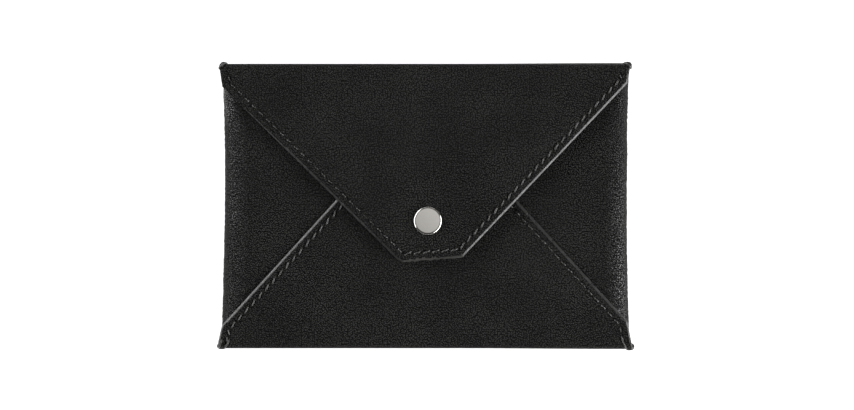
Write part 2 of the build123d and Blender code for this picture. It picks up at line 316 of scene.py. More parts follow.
class Finish(Nodes):
    """A material on its Principled shader."""

    def __init__(self, name, flat=False):
        self.material = bpy.data.materials.new(name)
        self.material.use_nodes = True
        super().__init__(self.material.node_tree)
        self.shader = self.tree.nodes["Principled BSDF"]
        self.place = self.node("ShaderNodeTexCoord", {}, {}).outputs["Object"]
        self.coordinates = self.place
        self.dimensions = "3D"
        if flat:
            self.coordinates = self.node("ShaderNodeUVMap", {"uv_map": "flat"}, {}).outputs["UV"]
            self.dimensions = "2D"

    def parts(self, place):
        """The first two numbers of a place, in metres."""
        made = self.node("ShaderNodeSeparateXYZ", {}, {0: place})
        return Number(self, made.outputs[0]), Number(self, made.outputs[1])

    def speckle(self, scale, detail, roughness):
        """Cloudy noise from 0 to 1, with that many waves to the metre."""
        sockets = {"Vector": self.coordinates, "Scale": scale, "Detail": detail, "Roughness": roughness}
        return self.number("ShaderNodeTexNoise", {"noise_dimensions": self.dimensions}, sockets)

    def pebbles(self, scale, randomness):
        """Distance from the middle of each grain cell."""
        sockets = {"Vector": self.coordinates, "Scale": scale, "Randomness": randomness}
        return self.number("ShaderNodeTexVoronoi", {"voronoi_dimensions": self.dimensions}, sockets)

    def spread(self, number, low, high):
        """The number, spread between two ends."""
        return self.number("ShaderNodeMapRange", {}, {0: number, 1: low, 2: high, 3: 0.0, 4: 1.0})

    def between(self, number, ends):
        """The same between two places, which are in millimetres."""
        return self.spread(number, ends[0] * mm, ends[1] * mm)

    def shade_between(self, number, first, second):
        """A colour between two others."""
        made = self.node("ShaderNodeMix", {"data_type": "RGBA"}, {0: number, 6: first, 7: second})
        return made.outputs[2]

    def set(self, **values):
        """Sets the shader's own sockets."""
        for key, value in values.items():
            self.feed(self.shader.inputs[key.replace("_", " ")], value)

    def relief(self, height, distance, strength):
        """A bump of that height all over the surface."""
        sockets = {"Height": height, "Distance": distance, "Strength": strength}
        bumps = self.node("ShaderNodeBump", {}, sockets).outputs[0]
        self.set(Normal=bumps)
        return bumps

    def surface(self, shader):
        """Gives the material another surface than its Principled shader."""
        self.feed(self.tree.nodes["Material Output"].inputs["Surface"], shader.outputs[0])

    def cover(self, share, sockets):
        """A second surface over the first, as thick as its share says."""
        over = self.node("ShaderNodeBsdfPrincipled", {}, sockets)
        surfaces = {0: share, 1: self.shader.outputs[0], 2: over.outputs[0]}
        self.surface(self.node("ShaderNodeMixShader", {}, surfaces))


def polish_folds(finish, shade, fine, bumps):
    """Grain that wear has polished along the side folds, in some stretches more."""
    right, back = finish.parts(finish.place)
    across = finish.parts(finish.coordinates)[0]
    left = finish.between(right, wear_left)
    corner = left * finish.between(back, wear_corner)
    inward = across - wear_left_shift * mm * left + wear_corner_shift * mm * corner
    fold = finish.between(inward, wear_rise) * finish.between(inward, wear_fall)
    left_middle = wear_left_share * left * finish.between(back, wear_left_middle)
    area = right * (back - wear_right_middle * mm)
    worn_low, worn_high = [end * mm**2 for end in wear_right_areas]
    right_stretch = (1.0 - left) * finish.spread(area, worn_low, worn_high)
    worn = right_stretch + left_middle + corner
    peaks = finish.spread(0.35 * fine - finish.pebbles(1500.0, 0.8), -0.24, 0.0)
    polish = {"Base Color": shade, "Roughness": 0.12 + 0.2 * fine, "IOR": 1.9, "Normal": bumps}
    finish.cover(fold * (wear_least_share + (1 - wear_least_share) * worn) * peaks, polish)


def grain_finish(name, rubbed):
    """Fine-grained black leather, almost neutral; its folds can be rubbed."""
    finish = Finish(name, flat=True)
    cells = finish.pebbles(1800.0, 0.8)
    fine = finish.speckle(2000.0, 1.0, 0.5)
    mottle = finish.speckle(320.0, 3.0, 0.6)
    clouds = finish.speckle(45.0, 2.0, 0.5)
    tone = finish.spread(0.35 * fine + 0.16 * clouds - cells, -0.105, 0.15)
    shade = finish.shade_between(tone, (0.0, 0.0, 0.0, 1.0), (0.0537, 0.0539, 0.0510, 1.0))
    finish.set(Base_Color=shade, Roughness=0.38 + 0.2 * fine + 0.08 * clouds, Specular_IOR_Level=0.1)
    bumps = finish.relief(0.6 * fine + 0.1 * mottle - cells, 0.00025, 1.0)
    if rubbed:
        polish_folds(finish, shade, fine, bumps)
    return finish.material


def flesh_finish():
    """Matt suede side of the leather and the lining."""
    finish = Finish("suede_lining")
    nap = finish.speckle(3200.0, 3.0, 0.7)
    clouds = finish.speckle(120.0, 2.0, 0.6)
    tone = 0.6 * nap + 0.4 * clouds
    finish.set(
        Base_Color=finish.shade_between(tone, (0.008, 0.008, 0.008, 1.0), (0.03, 0.029, 0.027, 1.0)),
        Roughness=0.82 + 0.12 * nap,
        Specular_IOR_Level=0.2,
    )
    finish.relief(nap, 0.0002, 0.8)
    return finish.material


def edge_finish():
    """Burnished cut edge: darker, smoother and a little uneven."""
    finish = Finish("burnished_edge")
    uneven = finish.speckle(600.0, 3.0, 0.6)
    fibres = finish.speckle(2800.0, 2.0, 0.6)
    finish.set(
        Base_Color=finish.shade_between(uneven, (0.012, 0.012, 0.012, 1.0), (0.03, 0.029, 0.028, 1.0)),
        Roughness=0.1 + 0.42 * uneven,
        Specular_IOR_Level=0.7,
    )
    finish.relief(uneven + 0.5 * fibres, 0.00014, 0.6)
    return finish.material


def raw_finish():
    """Raw cut edge at the flap's tip: grey, matt and fibrous."""
    finish = Finish("raw_edge")
    fibres = finish.speckle(1500.0, 3.0, 0.7)
    finish.set(
        Base_Color=finish.shade_between(fibres, (0.015, 0.015, 0.014, 1.0), (0.1, 0.098, 0.092, 1.0)),
        Roughness=0.75 + 0.15 * fibres,
        Specular_IOR_Level=0.2,
    )
    finish.relief(fibres, 0.0002, 0.8)
    return finish.material


def thread_finish():
    """Waxed black thread."""
    finish = Finish("waxed_thread")
    plies = finish.speckle(3000.0, 2.0, 0.5)
    finish.set(
        Base_Color=finish.shade_between(plies, (0.008, 0.008, 0.008, 1.0), (0.045, 0.044, 0.04, 1.0)),
        Roughness=0.1 + 0.12 * plies,
        Specular_IOR_Level=0.75,
    )
    finish.relief(plies, 0.0001, 0.7)
    return finish.material


def nickel_finish():
    """Polished nickel plate with faint rubbing marks, and a painted reflection that darkens its colour
    towards the lower left.
    """
    finish = Finish("nickel_plate")
    rub = finish.speckle(500.0, 3.0, 0.6)
    fine = finish.speckle(4000.0, 2.0, 0.5)
    right, back = finish.parts(finish.place)
    # Painted reflection: the colour is darker towards the lower left and lighter towards the upper right
    tone = 0.2 * rub + 0.8 * finish.between(right + back, cap_painted_reflection_range)
    finish.set(
        Base_Color=finish.shade_between(tone, (0.57, 0.557, 0.535, 1.0), (0.8, 0.783, 0.755, 1.0)),
        Roughness=0.13 + 0.08 * rub,
        Metallic=1.0,
    )
    finish.relief(fine, 0.00001, 0.25)
    return finish.material


grain = grain_finish("grain_leather", rubbed=False)
fold_grain = grain_finish("fold_leather", rubbed=True)
flesh = flesh_finish()
burnish = edge_finish()
raw = raw_finish()
waxed = thread_finish()
nickel = nickel_finish()


def folded(start, heading, legs, along, lift):
    """Where a point of a folded sheet lies: that far along its outer face, that far out from it.
    Each leg is a straight run (length, 0) or a round fold to the left (length, turn)."""
    across, up = start
    left = along
    for length, turn in legs:
        step = min(left, length)
        if turn:
            radius = length / turn
            middle_across = across - radius * sin(heading)
            middle_up = up + radius * cos(heading)
            heading += step / radius
            across = middle_across + radius * sin(heading)
            up = middle_up - radius * cos(heading)
        else:
            across += step * cos(heading)
            up += step * sin(heading)
        left -= step
        if left <= 0:
            break
    return across + lift * sin(heading), up - lift * cos(heading)


def eased(value, low, high):
    """Smooth step from 0 at low to 1 at high."""
    share = min(max((value - low) / (high - low), 0.0), 1.0)
    return share * share * (3 - 2 * share)


def bow(y):
    """How far the side edges stand out from the waist at that height."""
    return bow_radius - sqrt(bow_radius**2 - y**2)


# Fold lines of each blank, as runs along its outer face
endless = 1000.0
quarter = radians(90)
crease_run = crease_radius * quarter
back_legs = [(2 * back_edge, 0), (crease_run, quarter), (endless, 0)]
back_wall_start = 2 * back_edge + crease_run
back_end = back_wall_start + spine_middle - crease_radius
front_wall = pouch_top - 2 * crease_radius
front_legs = [(crease_run, quarter), (front_wall, 0), (crease_run, quarter), (endless, 0)]
front_sheet_start = 2 * crease_run + front_wall
side_run = fold_radius * pi
side_legs = [(side_run, pi), (endless, 0)]
flap_turn = quarter - flap_tilt
flap_run = crease_radius * flap_turn
flap_fold_y = half_height - crease_radius
flap_fold_rise = flap_half - crease_radius + (axis_y - flap_fold_y) * sin(flap_tilt)
flap_fold_z = flap_axis_z + flap_fold_rise / cos(flap_tilt)
flap_wall = flap_fold_z - spine_middle
flap_legs = [(flap_wall, 0), (flap_run, flap_turn), (endless, 0)]
flap_fold_end_y = flap_fold_y + crease_radius * sin(flap_tilt)
flap_sheet_start = flap_wall + flap_run


def on_front(x, y):
    """A place on the front panel's blank, from its place in the plan."""
    return x, front_sheet_start + y + back_edge


def on_flap(x, y):
    """A place on the flap's blank, from its place in the plan."""
    return x, flap_sheet_start + (flap_fold_end_y - y) / cos(flap_tilt)


snap_place = on_flap(snap_x, snap_y)
flap_tip_reach = on_flap(*flap_right_tip)[1]


def ripple(x, y, lengths, seed):
    """Unevenness from about -1 to 1, in waves of those lengths along x and y."""
    return noise.noise(Vector((x / lengths[0], y / lengths[1], seed)))


def swell(x, y, length, seed):
    """Unevenness from about -1 to 1, in waves as long along x as along y."""
    return ripple(x, y, (length, length), seed)


def flap_relief(x, along):
    """How far the flap stands off its flat plane: crowned, drooping to its edges, flat round the snap."""
    reach = max(along - flap_sheet_start, 0.0)
    whole = flap_tip_reach - flap_sheet_start
    share = min(reach / whole, 1.0)
    half = flap_half_width + (flap_left_tip[0] - flap_right_tip[0] - 2 * flap_half_width) / 2 * share
    middle = (flap_left_tip[0] + flap_right_tip[0]) / 2 * share
    gap = max(half + flap_droop_margin - abs(x - middle), 0.0)
    crown = flap_crown * sin(pi * min(share / flap_crown_share, 1.0)) ** 2
    side = flap_side_droop * (1 - eased(gap, 0.0, flap_droop_width)) * eased(reach, *flap_droop_rise)
    tip_start = flap_tip_share * whole
    tip = flap_tip_droop * max((reach - tip_start) / (whole - tip_start), 0.0) ** 2
    wave = flap_wave * swell(x, along, flap_wave_length, seed=3.1) * eased(reach, *flap_wave_rise)
    clear = eased(hypot(x - snap_place[0], along - snap_place[1]), snap_flat, snap_flat_end)
    return (crown - side - tip + wave) * clear


def bellied(x, y, z):
    """How far out a place lies with the belly of its wall, which is larger on the right."""
    belly = wall_belly + right_belly * eased(x, *right_belly_rise)
    bulge = belly * sin(pi * min(max(z / pouch_top, 0.0), 1.0))
    return y + bulge * eased(y, half_height - belly_start, half_height - belly_full)


def lay_flap(x, along, lift):
    """The flap's blank on the closed wallet."""
    y, z = folded((half_height, spine_middle), quarter, flap_legs, along, lift + flap_relief(x, along))
    return Vector((x, bellied(x, y, z), z))


def lay_back(x, along, lift):
    """The back's blank on the closed wallet."""
    y, z = folded((-back_edge, 0.0), 0.0, back_legs, along, lift)
    y = bellied(x, y, z)
    return Vector((x * (1 + bow(y) / back_half * (abs(x) <= back_half)), y, z))


def front_relief(x, along):
    """Slack of the front panel between its seams."""
    reach = along - front_sheet_start
    below_flap = eased(reach, *front_sag_rise) * (1 - eased(reach, *front_sag_fall))
    sag = front_sag * below_flap * (1 - eased(abs(x), *front_sag_sides))
    wave = front_wave * swell(x, along, front_wave_length, seed=7.7) * eased(reach, *front_wave_rise)
    return wave * (1 - eased(reach, *front_wave_fall)) - sag


def lay_front(x, along, lift):
    """The front panel's blank on the closed wallet."""
    y, z = folded((back_edge, 0.0), 0.0, front_legs, along, lift + front_relief(x, along))
    return Vector((x, -bellied(x, y, z), z))


def side_relief(across, y, sign):
    """Small cross wrinkles on the side fold, a slack panel, and folds that aren't quite even in depth."""
    past_fold = across - side_run
    fold = eased(across, *wrinkle_rise) * (1 - eased(past_fold, *wrinkle_fall))
    ends = 1 - eased(abs(y), *wrinkle_ends)
    fine = fine_wrinkle * ripple(across, y, fine_wrinkle_lengths, seed=11.0 * sign)
    slow = slow_wrinkle * ripple(across, y, slow_wrinkle_lengths, seed=5.0 * sign)
    sunk = swell(across, y, side_slack_length, seed=2.0 * sign) - 1
    slack = side_slack * eased(past_fold, *side_slack_rise) * sunk
    if sign < 0:
        bulge = left_bulge * eased(-y, *left_bulge_rise)
    else:
        bulge = -right_dip * eased(y, *right_dip_rise)
    round_share = sin(pi * min(across / side_run, 1.0))
    return fold * ends * (fine + slow) + slack + bulge * round_share


def lay_side(sign):
    """A side panel's blank on the closed wallet, on the right or the left."""

    def lay(across, y, lift):
        start = (back_half + bow(y), 0.0)
        x, z = folded(start, 0.0, side_legs, across, lift + side_relief(across, y, sign))
        return Vector((sign * x, y, z))

    return lay


def seam_runs(path):
    """Straight runs of a seam as (start, direction, length, stitches)."""
    runs = []
    for start, end in zip(path, path[1:]):
        run = end - start
        runs.append((start, run.normalized(), run.length, max(1, round(run.length / stitch_pitch))))
    return runs


def thread_pull(runs, x, along):
    """How deep the thread pulls the leather in, near a seam and its holes."""
    depth = 0.0
    for start, direction, length, count in runs:
        offset = Vector((x, along)) - start
        travel = offset.dot(direction)
        aside = abs(offset.cross(direction))
        if aside > pull_reach or travel < -pull_reach or travel > length + pull_reach:
            continue
        pitch = length / count
        hole = min(max(round(travel / pitch), 0), count) * pitch
        inside = 1.0 if 0 <= travel <= length else 0.0
        groove = seam_groove * exp(-((aside / groove_width) ** 2)) * inside
        dent = hole_dent * exp(-(aside**2 + (travel - hole) ** 2) / dent_width**2)
        depth = max(depth, groove + dent)
    return depth


def moved_on(here, there, distance):
    """A place moved that far towards another."""
    return here + (there - here).normalized() * distance


def inset_line(points, inset):
    """The line that runs at a fixed distance to the left of a chain of points, with sharp corners."""
    runs = []
    for first, last in zip(points, points[1:]):
        direction = (Vector(last) - Vector(first)).normalized()
        runs.append((Vector(first) + Vector((-direction.y, direction.x)) * inset, direction))
    line = [runs[0][0]]
    for (here, along), (there, onward) in zip(runs, runs[1:]):
        line.append(here + along * ((there - here).cross(onward) / along.cross(onward)))
    line.append(runs[-1][0] + runs[-1][1] * (Vector(points[-1]) - Vector(points[-2])).length)
    return line


def edge_stack(edge, face):
    """The edges that lie side by side across the rows, from that edge of the middle out to the cut."""
    stack = [edge]
    while len(edge.link_faces) == 2:
        face = [other for other in edge.link_faces if other is not face][0]
        edge = [other for other in face.edges if not set(other.verts) & set(edge.verts)][0]
        stack.append(edge)
    return stack


def cut_blank(corners, rounds, rows):
    """A flat blank with rows of leather round its edge; each vertex knows its gap to the edge."""
    blank = bmesh.new()
    points = [blank.verts.new((x, y, 0.0)) for x, y in corners]
    blank.faces.new(points)
    for corner, offset in rounds:
        bmesh.ops.bevel(
            blank,
            geom=[points[corner]],
            offset=offset,
            offset_type="OFFSET",
            affect="VERTICES",
            segments=8,
            profile=0.5,
            material=-1,
        )
    gap = blank.verts.layers.float.new("gap")
    inner = blank.faces.layers.int.new("inner")
    blank.faces.ensure_lookup_table()
    middle = blank.faces[0]
    total = 0.0
    for width in rows:
        total += width
        bmesh.ops.inset_region(
            blank, faces=[middle], thickness=width, use_even_offset=True, use_boundary=True
        )
        for vert in middle.verts:
            vert[gap] = total
    for face in blank.faces:
        face[inner] = face is middle
    for stack in [edge_stack(edge, middle) for edge in middle.edges]:
        cuts = round(stack[-1].calc_length() / row_step) - 1
        if cuts > 0:
            bmesh.ops.subdivide_edges(blank, edges=stack, cuts=cuts)
    return blank


def score(blank, axis, places, whole):
    """Crease lines across the blank, or across its middle only, so that it can bend there."""
    inner = blank.faces.layers.int["inner"]
    direction = Vector((1.0, 0.0, 0.0)) if axis == "x" else Vector((0.0, 1.0, 0.0))
    for place in places:
        faces = [face for face in blank.faces if whole or face[inner]]
        edges = {edge for face in faces for edge in face.edges}
        verts = {vert for face in faces for vert in face.verts}
        bmesh.ops.bisect_plane(
            blank,
            geom=[*verts, *edges, *faces],
            dist=score_merge,
            plane_co=direction * place,
            plane_no=direction,
        )


def steps(first, last, size):
    """Even places between two ends, about that far apart, without the ends."""
    count = max(1, round((last - first) / size))
    return [first + (last - first) * number / count for number in range(1, count)]


def edge_drop(gap, edge):
    """How far the face lies lower at that gap from the cut: a soft roll, then a rounded bevel."""
    bevel_share = min(max(1 - gap / edge.width, 0.0), 1.0)
    roll_share = min(max(1 - gap / roll_width, 0.0), 1.0)
    return edge.depth * bevel_share**edge.curve + edge.roll * roll_share**2


def thicken(blank, thickness, edge, under, edge_gap, pull):
    """Gives the blank its thickness, rounded cut edges and the dents that the thread makes."""
    made = bmesh.ops.extrude_face_region(blank, geom=blank.faces[:])
    lower = [part for part in made["geom"] if isinstance(part, bmesh.types.BMVert)]
    bmesh.ops.translate(blank, verts=lower, vec=(0.0, 0.0, -thickness))
    bmesh.ops.recalc_face_normals(blank, faces=blank.faces[:])
    gap = blank.verts.layers.float["gap"]
    for face in blank.faces:
        gaps = [edge_gap(vert.co.x, vert.co.y, vert[gap]) for vert in face.verts]
        flat = abs(face.normal.z) > flat_normal
        side = upper_face if face.normal.z > 0 else under_face
        face.material_index = side if flat and max(gaps) > edge.burnish else cut_edge
    for vert in blank.verts:
        upper = vert.co.z > -thickness / 2
        inward = edge_gap(vert.co.x, vert.co.y, vert[gap])
        if upper:
            vert.co.z -= edge_drop(inward, edge) + pull(vert.co.x, vert.co.y)
        else:
            vert.co.z += edge_drop(inward, under)


def lay_out(form, lay, lift):
    """Lays every point of a flat piece on the wallet, in metres; its UV map keeps the flat place."""
    flat = form.loops.layers.uv.new("flat")
    for face in form.faces:
        for loop in face.loops:
            loop[flat].uv = loop.vert.co.xy * mm
    for vert in form.verts:
        vert.co = lay(vert.co.x, vert.co.y, vert.co.z + lift) * mm
    bmesh.ops.recalc_face_normals(form, faces=form.faces[:])


def mesh_of(name, form):
    """A mesh of that form, which is used up."""
    mesh = bpy.data.meshes.new(name)
    form.to_mesh(mesh)
    form.free()
    return mesh


def shown(name, data):
    """An object of the scene with that data."""
    made = bpy.data.objects.new(name, data)
    bpy.context.scene.collection.objects.link(made)
    return made


def piece(name, form, finishes, replaced):
    """A finished piece of the wallet, standing for its CAD nodes."""
    mesh = mesh_of(name, form)
    for finish in finishes:
        mesh.materials.append(finish)
    for polygon in mesh.polygons:
        polygon.use_smooth = True
    made = shown(name, mesh)
    if replaced:
        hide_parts(*replaced)
    return made


def no_pull(x, along):
    """No thread near."""
    return 0.0


def near_end(inset, reach):
    """True where the nearest edge of the blank is a joint with the next piece, and not a cut edge."""
    return reach - inset < touching


leather_finishes = [grain, flesh, burnish]
side_finishes = [fold_grain, flesh, burnish]

# Flap, with the upper half of the spine wall
flap_ear = on_flap(0, axis_y - flap_half)[1]
flap_root = [(-spine_left, 0.0), (spine_right, 0.0)]
flap_right_side = [(spine_right, flap_ear), on_flap(*flap_right_bend)]
flap_left_side = [on_flap(*flap_left_bend), (-spine_left, flap_ear)]
flap_tips = [on_flap(*flap_right_tip), on_flap(*flap_left_tip)]
flap_cut = flap_right_side + flap_tips + flap_left_side
flap_outline = flap_root + flap_cut
flap_seam = inset_line(flap_cut, flap_seam_inset)
flap_seam[0] = moved_on(flap_seam[0], flap_seam[1], flap_seam_start)
flap_seam[-1] = moved_on(flap_seam[-1], flap_seam[-2], flap_seam_start)
flap_seam_runs = seam_runs(flap_seam)


def spine_gap(x):
    """Gap to the nearer end of the spine wall."""
    return min(spine_right - x, spine_left + x)


def flap_edge_gap(x, along, inset):
    """Gap to the flap's cut edge, whose bevel fades towards the ears; its other end joins the back."""
    gap = spine_gap(x) if near_end(inset, along) else inset
    left_corner = sum(fade * eased(-x, low, high) for fade, low, high in flap_left_fades)
    return gap + left_corner + flap_ear_fade * eased(abs(x), *flap_ear_range)


def flap_pull(x, along):
    """Dents of the flap's seam."""
    return thread_pull(flap_seam_runs, x, along)


def at_tip(x, along):
    """True on the edge between the two corners of the flap's tip."""
    left_x, left_along = flap_tips[1]
    right_x, right_along = flap_tips[0]
    share = (x - left_x) / (right_x - left_x)
    line = left_along + (right_along - left_along) * share
    ragged = sum(height * swell(x, 0.0, length, seed) for height, length, seed in raw_waves)
    return -tip_overlap_share < share < 1.0 and along > line - raw_width - ragged


flap_round = (flap_outline.index(flap_tips[1]), flap_tip_round)
flap_crease = steps(flap_wall - crease_margin, flap_sheet_start + crease_margin, flap_crease_step)
flap_blank = cut_blank(flap_outline, [flap_round], leather_rows)
score(flap_blank, "y", flap_crease, whole=True)
score(flap_blank, "y", steps(flap_sheet_start, flap_tip_reach, panel_grid), whole=False)
score(flap_blank, "x", steps(-spine_left, spine_right, panel_grid), whole=False)
thicken(flap_blank, leather, leather_edge, under_edge, flap_edge_gap, flap_pull)
for face in flap_blank.faces:
    middle = face.calc_center_median()
    if at_tip(middle.x, middle.y) and face.normal.z > -flat_normal:
        face.material_index = raw_tip
for vert in flap_blank.verts:
    if at_tip(vert.co.x, vert.co.y):
        vert.co.y += tip_fray * swell(vert.co.x, vert.co.z, tip_fray_length, seed=4.4)
        vert.co.z += tip_lift * swell(vert.co.x, vert.co.z, tip_lift_length, seed=8.2)
lay_out(flap_blank, lay_flap, 0.0)
flap = piece("flap_leather", flap_blank, [*leather_finishes, raw], ["flap_panel", "top_spine"])


def bend_with_flap(bent):
    """The piece bends with the crease between the spine wall and the flap."""
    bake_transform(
        bent,
        "spine",
        "flap",
        start=(0.0, (axis_y + crease_reach) * mm, (flap_axis_z - crease_reach) * mm),
        end=(0.0, (axis_y - crease_reach) * mm, (flap_axis_z + crease_reach) * mm),
    )


bend_with_flap(flap)

# Back, with the lower half of the spine wall
back_step = back_wall_start - spine_root
back_outline = [
    (-back_half, 0.0),
    (back_half, 0.0),
    (back_half, back_step),
    (spine_right, back_step),
    (spine_right, back_end),
    (-spine_left, back_end),
    (-spine_left, back_step),
    (-back_half, back_step),
]


def back_edge_gap(x, along, inset):
    """Gap to the cut ends of the spine wall; the back's other edges join the next pieces."""
    if abs(x) <= back_half + touching:
        return far_from_edge
    return min(spine_gap(x), along - back_step)


back_crease = steps(2 * back_edge - spine_root, back_wall_start + crease_margin, back_crease_step)
back_blank = cut_blank(back_outline, [], round_rows)
score(back_blank, "y", back_crease, whole=True)
score(back_blank, "y", steps(0.0, 2 * back_edge, back_grid), whole=True)
score(back_blank, "x", steps(-back_half, back_half, back_grid), whole=True)
thicken(back_blank, leather, leather_edge, under_edge, back_edge_gap, no_pull)
lay_out(back_blank, lay_back, 0.0)
back = piece("back_leather", back_blank, leather_finishes, ["back_panel"])
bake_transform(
    back,
    "pouch",
    "spine",
    start=(0.0, (axis_y - crease_reach) * mm, (back_axis_z - crease_reach) * mm),
    end=(0.0, (axis_y + crease_reach) * mm, (back_axis_z + crease_reach) * mm),
)

# Side panels
side_panel_reach = side_run + back_half - side_tip_x
side_outline = [
    (0.0, -fold_half_length),
    (side_run, -fold_half_length),
    (side_panel_reach, side_tip_low),
    (side_panel_reach, side_tip_high),
    (side_run, fold_half_length),
    (0.0, fold_half_length),
]


def side_edge_gap(across, y, inset):
    """Gap to a side panel's cut edge; its other end joins the back."""
    return fold_half_length - abs(y) if near_end(inset, across) else inset


for side_name, sign in (("left", -1), ("right", 1)):
    node = f"{side_name}_side_panel"
    side_blank = cut_blank(side_outline, [], side_rows)
    score(side_blank, "x", steps(0.0, side_run + fold_step, fold_step), whole=True)
    score(side_blank, "x", steps(side_run + fold_step, side_panel_reach, panel_grid), whole=False)
    score(side_blank, "y", steps(-fold_half_length, fold_half_length, wrinkle_step), whole=False)
    thicken(side_blank, leather, leather_edge, under_edge, side_edge_gap, no_pull)
    lay_out(side_blank, lay_side(sign), 0.0)
    side = piece(f"{side_name}_side_leather", side_blank, side_finishes, [node])
    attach(side, "pouch")

# Front panel with the bottom wall
front_tip = on_front(front_tip_x, front_tip_y)
front_ear_start = front_sheet_start - crease_run / 2
front_outline = [
    (-front_left_ear, 0.0),
    (front_right_ear, 0.0),
    (front_right_ear, front_ear_start),
    on_front(*front_right_bend),
    front_tip,
    (-front_tip[0], front_tip[1]),
    on_front(*front_left_bend),
    (-front_left_ear, front_ear_start),
]
front_seams = []
for sign, ear, bend in ((-1, front_left_ear, front_left_bend), (1, front_right_ear, front_right_bend)):
    edge_line = [(sign * ear, front_ear_start), on_front(*bend), (sign * front_tip[0], front_tip[1])]
    seam = inset_line(edge_line, sign * front_seam_inset)
    seam[0] = moved_on(seam[0], seam[1], front_seam_start)
    onward = (seam[2] - seam[1]).normalized()
    seam[2] = seam[1] + onward * ((front_seam_end * sign - seam[1].x) / onward.x)
    front_seams.append(seam_runs(seam))


def front_edge_gap(x, along, inset):
    """Gap to the front panel's cut edge, whose bevel fades at the ears; its other end joins the back."""
    end_gap = min(front_right_ear - x, front_left_ear + x)
    gap = end_gap if near_end(inset, along) else inset
    past_ear = along - on_front(*front_left_bend)[1]
    return gap + front_ear_fade * (1 - eased(past_ear, *front_ear_range))


def front_pull(x, along):
    """Dents of the front panel's two seams."""
    return thread_pull(front_seams[0] if x < 0 else front_seams[1], x, along)


front_blank = cut_blank(front_outline, [], leather_rows)
for crease_start in (0.0, crease_run + front_wall):
    crease_low = crease_start - front_crease_margin
    crease_high = crease_start + crease_run + front_crease_margin
    score(front_blank, "y", steps(crease_low, crease_high, front_crease_step), whole=True)
score(front_blank, "y", steps(front_sheet_start, front_tip[1], panel_grid), whole=False)
score(front_blank, "x", steps(-front_left_ear, front_right_ear, panel_grid), whole=False)
thicken(front_blank, leather, front_edge, under_edge, front_edge_gap, front_pull)
lay_out(front_blank, lay_front, 0.0)
front = piece("front_leather", front_blank, leather_finishes, ["front_panel"])
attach(front, "pouch")

# Linings, glued inside the back, the spine wall and the flap
back_lining_gap = 0.5
back_lining_low = 0.6
spine_lining_half = 68.6
spine_lining_gap = 0.3


def own_gap(x, along, inset):
    """Gap to a lining's own edge, cut all round."""
    return inset


def lining_piece(name, outline, rounds, grid, lay, body):
    """A thin lining that follows the leather it is glued to."""
    form = cut_blank(outline, rounds, lining_rows)
    for axis, places in grid:
        score(form, axis, places, whole=False)
    thicken(form, lining, lining_edge, lining_edge, own_gap, no_pull)
    for face in form.faces:
        face.material_index = 0
    lay_out(form, lay, -leather)
    made = piece(f"{name}_suede", form, [flesh], [f"{name}_lining"])
    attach(made, body)


def strip(half, low, high):
    """Outline of a plain strip, with a corner in the middle of its long edges."""
    return [(-half, low), (0.0, low), (half, low), (half, high), (0.0, high), (-half, high)]


flap_lining_round = (flap_cut.index(flap_tips[1]), flap_tip_round)
flap_lining_grid = [
    ("x", steps(-spine_left, spine_right, lining_grid)),
    ("y", steps(flap_sheet_start, flap_tip_reach, lining_grid)),
]
lining_piece("flap", flap_cut, [flap_lining_round], flap_lining_grid, lay_flap, "flap")
back_lining_top = axis_y - flap_half + back_edge
back_lining_outline = strip(back_half - back_lining_gap, back_lining_low, back_lining_top)
lining_piece("back", back_lining_outline, [], [], lay_back, "pouch")
spine_lining_low = back_wall_start + spine_lining_gap
spine_lining_high = back_wall_start + flap_fold_z - crease_radius - spine_lining_gap
spine_lining_outline = strip(spine_lining_half, spine_lining_low, spine_lining_high)
lining_piece("spine", spine_lining_outline, [], [], lay_back, "spine")


# Threads of the seams, stitch by stitch
def stitch_template():
    """One arched stitch along X, whose ends dive into their holes."""
    form = bmesh.new()
    length = stitch_pitch - stitch_gap
    radius = (length**2 / 4 + stitch_rise**2) / (2 * stitch_rise)
    half_turn = atan2(length / 2, radius - stitch_rise)
    place = Matrix.Translation((0.0, 0.0, radius)) @ Matrix.Rotation(quarter, 4, "Y")
    bmesh.ops.create_circle(form, cap_ends=True, radius=thread_width / 2, segments=8, matrix=place)
    turn_back = Matrix.Rotation(-half_turn, 3, "Y")
    bmesh.ops.rotate(form, verts=form.verts[:], cent=(0.0, 0.0, 0.0), matrix=turn_back)
    bmesh.ops.spin(
        form,
        geom=form.verts[:] + form.edges[:] + form.faces[:],
        cent=(0.0, 0.0, 0.0),
        axis=(0.0, 1.0, 0.0),
        angle=2 * half_turn,
        steps=7,
        use_merge=False,
    )
    bmesh.ops.translate(form, verts=form.verts[:], vec=(0.0, 0.0, stitch_top - radius))
    bmesh.ops.recalc_face_normals(form, faces=form.faces[:])
    return mesh_of("stitch", form)


stitch = stitch_template()


def sewn_thread(name, runs, slants, lay, face, outward, node, body):
    """A row of slanting stitches along a seam, on the upper or the under face of the leather."""
    form = bmesh.new()
    for (start, direction, length, count), (slant, width_share, length_share) in zip(runs, slants):
        turn = atan2(direction.y, direction.x)
        for number in range(count):
            place = start + direction * (length * (number + 0.5) / count)
            before = len(form.verts)
            form.from_mesh(stitch)
            form.verts.ensure_lookup_table()
            fresh = form.verts[before:]
            uneven = swell(place.x, place.y, stitch_play_length, seed=6.6)
            slanted = Matrix.Rotation(turn + (slant + stitch_play * uneven) * outward, 3, "Z")
            width = width_share * (1.0 + width_play_share * uneven)
            reach = length_share * length / count / stitch_pitch
            bmesh.ops.scale(form, vec=(reach, width, outward), verts=fresh)
            bmesh.ops.rotate(form, verts=fresh, cent=(0.0, 0.0, 0.0), matrix=slanted)
            bmesh.ops.translate(form, verts=fresh, vec=(place.x, place.y, 0.0))
    lay_out(form, lay, face)
    made = piece(name, form, [waxed], [node])
    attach(made, body)


